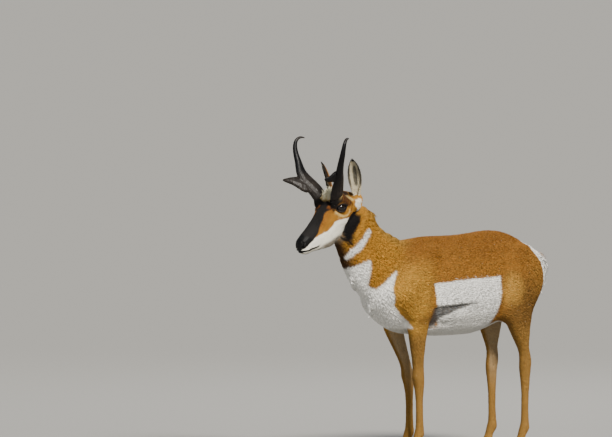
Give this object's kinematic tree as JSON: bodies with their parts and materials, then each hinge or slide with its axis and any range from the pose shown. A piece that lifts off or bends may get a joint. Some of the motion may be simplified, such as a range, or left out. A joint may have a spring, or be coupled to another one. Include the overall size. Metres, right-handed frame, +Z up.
{
  "type": "pronghorn",
  "caption": "Life-size standing pronghorn buck with upright pronged horns, tan and white coat, slender legs and cloven hooves, head turned slightly to its left.",
  "frame": {"origin": "middle of the bounding box on the floor, under the belly", "axes": "+Z up, the buck faces -X with its left flank towards -Y"},
  "size_m": [1.2804, 0.3044, 1.2749],
  "materials": {
    "coat": "short dense hair, tan above and white below",
    "ear": "short hair, pale inside with a dark rim",
    "horn": "satin black keratin sheath",
    "hoof": "satin black keratin",
    "eye": "wet gloss"
  },
  "bodies": {
    "root": {"ear_left": "ear", "ear_right": "ear", "eye_left": "eye", "eye_right": "eye", "foreleg_left": "coat", "foreleg_right": "coat", "head": "coat", "hindleg_left": "coat", "hindleg_right": "coat", "hoof_foreleg_left_a": "hoof", "hoof_foreleg_left_b": "hoof", "hoof_foreleg_right_a": "hoof", "hoof_foreleg_right_b": "hoof", "hoof_hindleg_left_a": "hoof", "hoof_hindleg_left_b": "hoof", "hoof_hindleg_right_a": "hoof", "hoof_hindleg_right_b": "hoof", "horn_left": "horn", "horn_right": "horn", "neck": "coat", "tail": "coat", "torso": "coat"}
  },
  "joints": []
}
